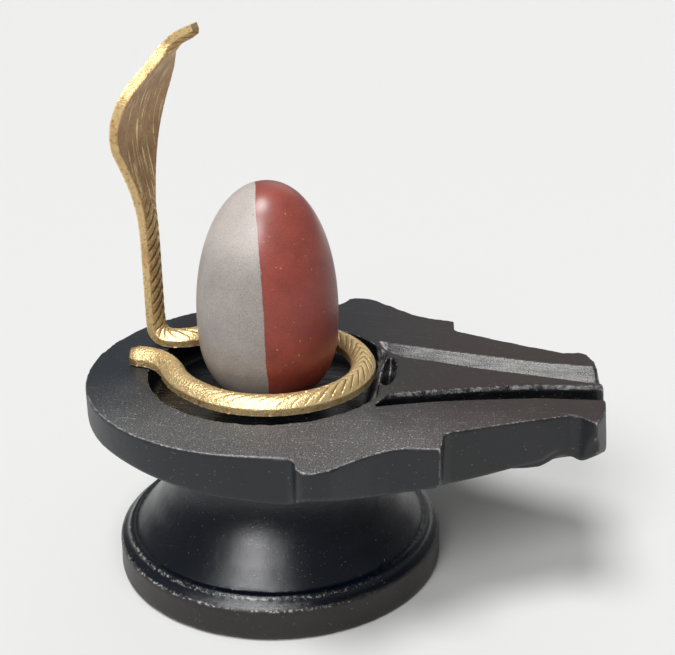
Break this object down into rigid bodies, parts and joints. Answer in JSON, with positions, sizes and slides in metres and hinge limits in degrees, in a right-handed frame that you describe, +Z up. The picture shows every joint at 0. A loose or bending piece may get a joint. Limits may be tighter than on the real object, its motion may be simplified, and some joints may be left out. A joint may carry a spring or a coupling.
{
  "type": "shiva lingam stone on its stand",
  "caption": "Two-coloured stone egg standing in the basin of a carved black base with a spout, with a hooded brass snake coiled round it.",
  "frame": {"origin": "on the foot's flat underside, straight below the centre of the base's round disc", "axes": "+X from the disc to the tip of the spout, +Z up, along the stone's height and the hood"},
  "size_m": [0.1001, 0.0816, 0.1056],
  "materials": {
    "black_stone": "satin",
    "two_coloured_stone": "satin",
    "brass": "satin"
  },
  "bodies": {
    "root": {"yoni_base": "black_stone", "lingam_stone": "two_coloured_stone", "brass_snake": "brass"}
  },
  "joints": []
}
